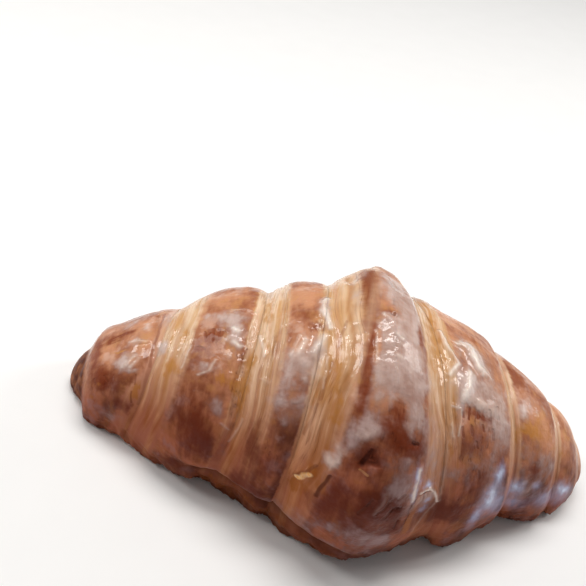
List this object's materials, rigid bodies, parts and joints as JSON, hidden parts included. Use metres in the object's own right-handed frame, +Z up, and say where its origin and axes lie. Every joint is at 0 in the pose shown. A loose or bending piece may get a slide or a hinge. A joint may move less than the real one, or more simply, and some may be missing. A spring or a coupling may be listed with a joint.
{
  "type": "glazed croissant",
  "caption": "Crescent-shaped roll of laminated dough, baked in overlapping layers that taper to both ends, with a thin sugar glaze and a flat underside.",
  "frame": {"origin": "middle of the bounding box, on the flat underside that rests on the tray", "axes": "+X along the roll from its slimmer end to its blunter end, -Y towards the rounded front, +Z up"},
  "size_m": [0.1554, 0.0774, 0.067],
  "materials": {
    "glazed_crust": "browned laminated crust under a thin translucent sugar glaze"
  },
  "bodies": {
    "root": {"croissant": "glazed_crust"}
  },
  "joints": []
}
